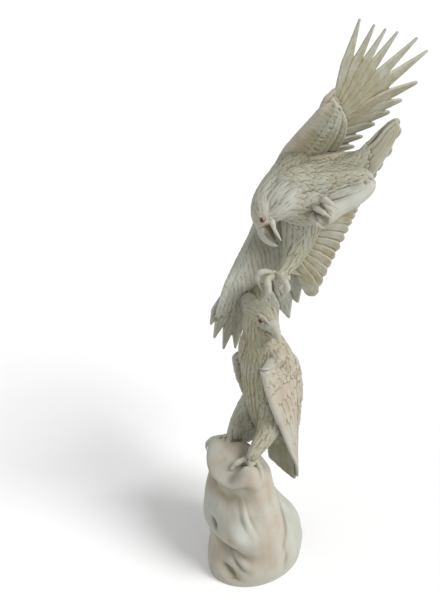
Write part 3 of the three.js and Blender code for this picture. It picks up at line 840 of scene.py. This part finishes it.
# Dark fill inside the open beak: painted shade
MOUTH_SHADE_FILL = [[-40, 122, 682, 9, 9], [-28, 118, 668, 6, 2.2], [-18, 116, 657, 3.5, 1.4], [-12, 115, 652, 1, 0.8]]
ARM_FRONT = [
    [-104, 172, 716], [-88, 200, 772], [-53, 200, 809], [-18, 201, 843], [16, 203, 876], [31, 222, 896],
]
ARM_BACK = [
    [-64, 290, 722], [-56, 290, 740], [-32, 288, 766], [-4, 281, 800], [18, 266, 838], [32, 238, 874],
]
TAIL_TOP = [[-30, 262, 738], [-2, 304, 763], [18, 324, 780], [32, 342, 806], [41, 362, 818]]
TAIL_FOOT = [[2, 286, 690], [14, 312, 706], [25, 334, 732], [34, 354, 766], [42, 369, 800]]
# Ways that the faces of long feathers look
TAIL_FACE = [0.8, -0.6, 0.1]
TIP_FACE = [0.97, -0.19, -0.15]
THUMB_FACE = [0.9, -0.19, -0.4]
CURTAIN_FACE = [0.84, -0.5, 0.17]


def swooping_body():
    """Forms and details of the diving eagle's body, head, tail and legs."""
    forms = [
        sweep(SWOOP_BODY, (1, 0, 0.3), 160, 150, kind=BELLY, tint=DEEP_DOWN),
        sweep(SWOOP_HEAD, Y, 100, 80, kind=HACKLES, way=-1, tint=CROWN_FADE),
        *(sweep(knots, X, 60, 60, kind=HACKLES, tint=NECK_FADE) for knots in (THROAT, NECK_SIDE)),
        sweep(WING_ROOT, X, 60, 60, kind=BELLY, tint=SAGE_DOWN),
        sweep(KEEL, X, 80, 80, kind=BELLY, tint=KEEL_DOWN),
        sweep(ROOT_FILL, X, 50, 40, kind=BELLY, tint=OLIVE),
        sweep(TUCKED_THIGH, X, 90, 80, kind=BELLY, tint=THIGH_FADE),
        sweep(CALF, X, 60, 60, tint=COOL),
        sweep(STRIKING_LEG, X, 110, 80, kind=THIGH, tint=LEG_FADE),
    ]
    details = [
        sweep(UPPER_BEAK, Y, 90, 60, tint=HORN_FADE, strokes=0.2),
        sweep(LOWER_BEAK, Y, 80, 40, tint=HORN_FADE, strokes=0.2),
        # The mouth fill is tinted dark as painted shade
        sweep(MOUTH_SHADE_FILL, Y, 40, 30, tint=DARK, strokes=0),
        sweep(TUCKED_SHIN, X, 100, 70, tint=(COOL, COOL, PALE), strokes=0.3),
        panel(TAIL_FOOT, TAIL_TOP, thick=12, side=-1, fade=0.5, edge=0.6, rows=120, cols=80,
              inner=lambda t, v: 0.9 * np.abs(np.sin(v * 5 * math.pi)) * t, lie=(0, 1)),
    ]
    details += fan(
        5, [[6, 306, 758], [4, 298, 736]],
        [[43, 368, 816], [43, 372, 798], [35, 358, 763], [28, 342, 737], [23, 328, 714]],
        [TAIL_FACE, TAIL_FACE], [[22], [30]], thick=8, taper=0.24, tip_width=0.45, power=2.0, tint=PALE)
    details += toes(TUCKED_TOES, TUCKED_RADII, Z, count=4)
    details += toes(STRIKING_TOES, STRIKING_RADII, (0.3, 0.5, 0.8))
    details += toes([HIND_TOE], HIND_RADII, (0.3, 0.5, 0.8))
    return forms, details


def raised_wing():
    """Forms and details of the wing held up: arm, long feathers, and the thumb feather at its wrist."""
    forms = [panel(ARM_FRONT, ARM_BACK, thick=16, camber=-2, fade=0.6, edge=0.15, rows=200, cols=110,
                   outer=long_strokes, inner=braid, kind=wing_kinds, tint=UNDERWING)]
    details = fan(
        6, [[32, 228, 886], [26, 236, 862], [22, 242, 850]],
        [[51, 270, 1016], [55, 299, 1001], [57, 323, 989], [58, 350, 978], [59, 396, 957], [55, 426, 927]],
        [TIP_FACE, TIP_FACE], [[25], [26], [31], [35]], thick=9, taper=0.56, tip_width=0.12, power=0.95,
        tilt=0.13)
    details += fan(
        6, [[18, 244, 850], [-4, 250, 820], [-46, 255, 766]],
        [[46, 410, 873], [28, 390, 842], [12, 375, 820], [-6, 355, 799], [-28, 345, 773], [-43, 338, 752]],
        [THUMB_FACE, [0.68, -0.18, -0.7]], [[28], [36], [34]], thick=9, taper=0.34, power=1.3, tilt=0.13)
    details.append(blade([16, 208, 868], [33, 227, 906], THUMB_FACE, 20, 12, tip_width=0.3, tint=PINKISH))
    return forms, details


HANG_FRONT = [
    [-104, 172, 716], [-122, 168, 665], [-126, 140, 615], [-115, 98, 583], [-105, 58, 548], [-107, 42, 514],
    [-117, 37, 482],
]
HANG_BACK = [
    [-62, 300, 700], [-66, 280, 655], [-82, 240, 612], [-86, 236, 575], [-88, 234, 540], [-92, 226, 512],
    [-97, 214, 488],
]


def hanging_wing():
    """Forms and details of the wing that hangs down behind: arm, long feathers, and curtain by the leg."""
    forms = [panel(HANG_FRONT, HANG_BACK, thick=17, camber=6, side=-1, fade=0.84, rows=240, cols=120,
                   outer=long_strokes, kind=hanging_kinds, lie=(0.5, 1), tint=DEEP_DOWN, rim_tint=COOL)]
    details = fan(
        9, [[-104, 66, 536], [-102, 90, 524], [-99, 106, 518], [-94, 145, 520], [-86, 198, 532]],
        [[-131, 39, 463], [-142, 51, 423], [-148, 74, 385], [-143, 99, 378], [-138, 130, 384],
         [-129, 164, 394], [-120, 190, 402], [-112, 215, 411], [-100, 230, 445]],
        [[0.93, -0.16, -0.3], [0.9, -0.16, -0.34]], [[27], [29], [36]], thick=9, tip_width=0.14, tilt=0.12,
        tint=DOWN)
    details.append(panel(
        [[-80, 275, 670], [-80, 240, 620], [-78, 205, 575], [-74, 185, 540]],
        [[-46, 322, 650], [-48, 296, 605], [-51, 264, 560], [-61, 228, 516]],
        thick=8, side=-1, edge=0.8, rows=100, cols=50))
    details += fan(
        13, [[-62, 262, 656], [-62, 246, 624], [-62, 224, 590], [-62, 200, 560]],
        [[-28, 344, 652], [-30, 337, 638], [-31, 328, 624], [-32, 318, 610], [-33, 306, 592], [-35, 292, 570],
         [-38, 276, 548], [-41, 262, 528], [-48, 250, 502], [-57, 238, 473]],
        [CURTAIN_FACE, CURTAIN_FACE], [[20], [22], [30]], thick=7, taper=0.2, tip_width=0.5, power=2.0,
        tilt=0.12)
    return forms, details


# Swellings of the rock: heading in degrees, height, half angle, half height, lean, depth (below 0 in hollows)
SWELLINGS = [
    (-110, 128, 32, 32, -0.6, 2), (-84, 176, 26, 14, -0.2, -11), (-58, 184, 22, 15, -0.3, -9),
    (-80, 78, 26, 13, -0.5, -18), (-54, 118, 16, 22, 0, 16), (-92, 122, 8, 10, -0.6, -9),
    (-92, 30, 22, 16, 0, 2), (-20, 150, 20, 34, 0, -7), (-10, 60, 30, 40, 0, 3), (22, 165, 22, 30, 0, -8),
    (52, 88, 26, 40, 0, 6), (-150, 150, 16, 60, 0, -4), (-128, 190, 26, 11, 0, -16),
    (-170, 60, 30, 40, 0, 2), (110, 120, 24, 50, 0, -6), (-18, 205, 12, 22, 0, 8),
    (24, 108, 24, 15, 1.45, -7), (4, 42, 8, 34, 0, -4), (-38, 150, 8, 16, -2.6, 5),
    (-70, 28, 15, 12, -0.7, -14),
]
# Ledges of the same six numbers: the rock stands out above such a line and falls back below it
LEDGES = [(-100, 103, 30, 22, -0.5, 6), (-58, 50, 14, 16, -0.9, 7), (-80, 205, 62, 13, 0, 7)]
# Knobs on the rock's top, under the toes: x, y, half width, height
KNOBS = [
    (-84, -16, 34, 32), (36, -18, 28, 30), (8, -46, 16, -4), (-42, 28, 26, 18), (25, -29, 10, 7),
    (-30, -10, 30, 18),
]
# The rock's ovals from its foot up: middle x and y, half widths along x and y, height
ROCK_LEVELS = [
    [0, -4, 83, 96, 0], [1, -2, 86, 97, 20], [-1, 3, 88, 95, 40], [-2, 5, 88, 87, 60],
    [-3, 2, 88, 86, 80], [-5, -2, 87, 83, 100], [-10, -6, 85, 76, 120], [-13, -9, 82, 69, 140],
    [-14, -11, 81, 62, 160], [-16, -9, 79, 56, 180], [-18, -8, 77, 53, 200], [-19, -6, 72, 49, 213],
    [-19, -3, 50, 34, 217], [-19, -2, 22, 16, 217], [-19, -2, 1, 1, 217],
]
# Painted shade and highlight on the rock: heading, height, half angle, half height, and how far the tint
# shifts.
# A shift above 0 darkens a hollow as painted shade, one below 0 lightens a bulge or the top rim as painted
# highlight
PAINTED_SHADE_AND_HIGHLIGHTS = [
    (38, 78, 34, 60, -1.0), (-96, 150, 30, 34, -0.7), (-40, 118, 18, 44, -0.5), (-72, 188, 46, 16, 1.2),
    (16, 120, 9, 50, 0.6), (-78, 76, 22, 14, 1.2), (-70, 26, 16, 14, 1.0), (-85, 225, 60, 12, -0.6),
]
KNOT_HEADING = -60
KNOT_HEIGHT = 112
KNOT_RADIUS = 9
KNOT_DEPTH = 2.0
MM_PER_DEGREE = 1.5
ROCK_TINT = -0.15
# Height of a ledge's edge, of the plain foot, and the heights between which the knobs come in
LEDGE_EDGE = 7
FOOT_HEIGHT = 15
KNOBS_FROM = 150
ROCK_TOP = 216


def turned(heading, at):
    """Degrees from one heading to others, from -180 to 180."""
    return np.mod(heading - at + 540, 360) - 180


def hump(heading, z, at, height, wide, tall, lean=0):
    """A bump of the form exp(-x^2) about a heading and a height, and each point's height above its line."""
    turn = turned(heading, at)
    rise = z - height - lean * turn
    return np.exp(-(turn / wide) ** 2 - (rise / tall) ** 2), rise


def rock():
    """The rock's skin: ovals stacked up its height, swollen or hollowed by bumps of the form exp(-x^2).

    A ledge multiplies such a bump by tanh of the height above its line.
    """
    t = np.linspace(0, 1, 270)
    x, y, a, b, z = curve(ROCK_LEVELS, t).T[:, :, None]
    angle = circle(320)[None, :]
    heading = np.degrees(angle)
    grow = 0
    for *where, depth in SWELLINGS:
        grow = grow + depth * hump(heading, z, *where)[0]
    for *where, depth in LEDGES:
        swelling, rise = hump(heading, z, *where)
        grow = grow + depth * np.tanh(rise / LEDGE_EDGE) * swelling
    beside = turned(heading, KNOT_HEADING) * MM_PER_DEGREE
    knot = np.exp(-(np.hypot(beside, z - KNOT_HEIGHT) / KNOT_RADIUS) ** 2)
    grow = grow - KNOT_DEPTH * knot
    grow = grow * np.minimum(1, z / FOOT_HEIGHT)
    px = x + (a + grow) * np.cos(angle)
    py = y + (b + grow) * np.sin(angle)
    lift = 0
    for kx, ky, size, high in KNOBS:
        lift = lift + high * np.exp(-((px - kx) ** 2 + (py - ky) ** 2) / size ** 2)
    pz = z + lift * np.maximum(0, (z - KNOBS_FROM) / (ROCK_TOP - KNOBS_FROM))
    points = np.stack([px, py, pz], axis=-1)
    tint = ROCK_TINT + 1.1 * knot
    # Painted shade in hollows and painted highlight on bulges and the rim
    for *where, cast in PAINTED_SHADE_AND_HIGHLIGHTS:
        tint = tint + cast * hump(heading, z, *where)[0]
    shell = (points, marked(points.shape[:2], tint, pz, px, 0.0))
    return placed("rock", made("rock", *gathered([shell])))


# Eyes: the centre of each, the way it looks, and the way its corner points
EYES = {
    "upper_eye_left": ((-34, 106.5, 688), (0.55, -0.8, 0.25), (0.6, 0.2, -0.8)),
    "upper_eye_right": ((-43, 144.5, 684), (0.0, 1.0, 0.1), (0.6, 0, -0.8)),
    "lower_eye_right": ((-17.5, 73, 504), (0.5, -0.83, 0.25), (1, 0.3, -0.35)),
    "lower_eye_left": ((-18, 105.5, 503), (0.3, 0.93, 0.2), (1, -0.3, -0.35)),
}
EYE_RADIUS = 5
LID_RADIUS = 5.5
LID_TUBE = 1.1
# Dark brown at the eye's edge: painted shade under the lid
SHADED_EYE_EDGE = (0.06, 0.025, 0.012, 1)
EYE_RING = (0.40, 0.12, 0.035, 1)
# The pupil's blue is a painted reflection
BLUE_SHEEN_PUPIL = (0.006, 0.008, 0.02, 1)


def eye_glass():
    """Glossy eye, by angle off the gaze: black pupil, painted blue reflection, orange-red ring, brown painted
    shade at edge.
    """
    material, tree, shader = new_material("eye_glass")
    gaze = number_on(tree, "gaze")
    colour = mixed(tree, spread(tree, gaze, 0.3, 0.5), SHADED_EYE_EDGE, EYE_RING)
    colour = mixed(tree, spread(tree, gaze, 0.70, 0.78), colour, BLUE_SHEEN_PUPIL)
    tree.links.new(colour, shader.inputs["Base Color"])
    shader.inputs["Roughness"].default_value = 0.25
    shader.inputs["Coat Weight"].default_value = 0.2
    return material


def eye(node, centre, gaze, material):
    """A ball about the gaze line: circles of radius sin(angle), cos(angle) forward, for angles 0 to pi."""
    gaze = unit(np.asarray(gaze, float))
    side = unit(np.cross(gaze, Z))
    up = np.cross(gaze, side)
    tip = np.linspace(0.03, math.pi - 0.03, 32)[:, None]
    turn = circle(48)[None, :]
    spoke = side * np.cos(turn)[..., None] + up * np.sin(turn)[..., None]
    ball = spoke * np.sin(tip)[..., None] + gaze * np.cos(tip)[..., None]
    points = np.asarray(centre, float) + EYE_RADIUS * ball
    forward = np.broadcast_to(np.cos(tip), points.shape[:2])
    shell = (points, marked(points.shape[:2], forward, 0, 0, 0.0))
    piece = placed(node + "_glass", made(node, *gathered([shell])))
    mesh = piece.data
    note(mesh, "gaze", np.concatenate([forward.ravel(), [1, -1]]))
    mesh.polygons.foreach_set("use_smooth", np.ones(len(mesh.polygons), bool))
    mesh.materials.append(material)
    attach(piece, "root")
    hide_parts(node)


def facing(back, up, roll):
    """Rotation whose Z axis is `back` and whose X axis lies level, turned by roll."""
    right = unit(np.cross(up, back))
    over = np.cross(back, right)
    across = math.cos(roll) * right + math.sin(roll) * over
    upright = -math.sin(roll) * right + math.cos(roll) * over
    return Matrix(np.stack([across, upright, back], axis=1).tolist())


def studio():
    """Pale floor, even light all round, and two soft suns, the stronger one from the camera's right."""
    bpy.ops.mesh.primitive_plane_add(size=60)
    floor = bpy.context.object
    floor.name = "floor"
    paper, _, shader = new_material("floor_paper")
    shader.inputs["Base Color"].default_value = (0.9, 0.9, 0.9, 1)
    shader.inputs["Roughness"].default_value = 0.9
    shader.inputs["Specular IOR Level"].default_value = 0.0
    floor.data.materials.append(paper)
    world = bpy.data.worlds.new("studio")
    world.use_nodes = True
    sky = world.node_tree.nodes["Background"]
    sky.inputs["Color"].default_value = (1, 1, 1, 1)
    sky.inputs["Strength"].default_value = 0.52
    bpy.context.scene.world = world
    for name, away, power, size in (
        ("key", (0.85, 0.4, 0.85), 2.7, 0.5),
        ("fill", (-0.5, -0.6, 0.9), 0.25, 1.2),
    ):
        lamp = bpy.data.lights.new(name, "SUN")
        lamp.energy = power
        lamp.angle = size
        holder = bpy.data.objects.new(name, lamp)
        holder.rotation_euler = facing(unit(np.array(away)), Z, 0.0).to_euler()
        bpy.context.scene.collection.objects.link(holder)


# Camera: where the right-hand view was taken from, in degrees and metres, with a picture's height in pixels
CAMERA_AZIMUTH = 54.69
CAMERA_DISTANCE = 1.542
CAMERA_HEIGHT = 1.448
CAMERA_PITCH = 29.19
CAMERA_YAW = 0.73
CAMERA_ROLL = -5.84
CAMERA_FOCAL_PIXELS = 1024.9
PICTURE_HEIGHT = 600
SENSOR = 36


def camera():
    """Camera on a circle about the object, aimed down by its pitch."""
    azimuth = math.radians(CAMERA_AZIMUTH)
    turn = azimuth + math.radians(CAMERA_YAW)
    pitch = math.radians(CAMERA_PITCH)
    back = np.array([math.sin(turn) * math.cos(pitch), -math.cos(turn) * math.cos(pitch), math.sin(pitch)])
    lens = bpy.data.cameras.new("camera")
    lens.sensor_width = SENSOR
    lens.lens = SENSOR * CAMERA_FOCAL_PIXELS / PICTURE_HEIGHT
    holder = bpy.data.objects.new("camera", lens)
    x = CAMERA_DISTANCE * math.sin(azimuth)
    y = -CAMERA_DISTANCE * math.cos(azimuth)
    holder.location = (x, y, CAMERA_HEIGHT)
    holder.rotation_euler = facing(back, Z, math.radians(CAMERA_ROLL)).to_euler()
    bpy.context.scene.collection.objects.link(holder)
    bpy.context.scene.camera = holder


camera()
studio()
lids = {name: lid(centre, gaze, front, LID_RADIUS, LID_TUBE) for name, (centre, gaze, front) in EYES.items()}
forms, details = perched_eagle()
details += [lids["lower_eye_right"], lids["lower_eye_left"]]
perched = carve("perched_eagle", forms, details, voxel=1.65, seed=3)
forms, details = swooping_body()
details += [lids["upper_eye_left"], lids["upper_eye_right"]]
carve("diving_eagle", forms, details, voxel=1.5, seed=5)
carve("raised_wing", *raised_wing(), voxel=1.4, seed=7, blend=2)
carve("hanging_wing", *hanging_wing(), voxel=1.5, seed=11, blend=2)
shown(rock())
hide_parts("eagle_carving")
glass = eye_glass()
for node, (centre, gaze, _) in EYES.items():
    eye(node, centre, gaze, glass)

bpy.context.scene.view_settings.view_transform = "Standard"
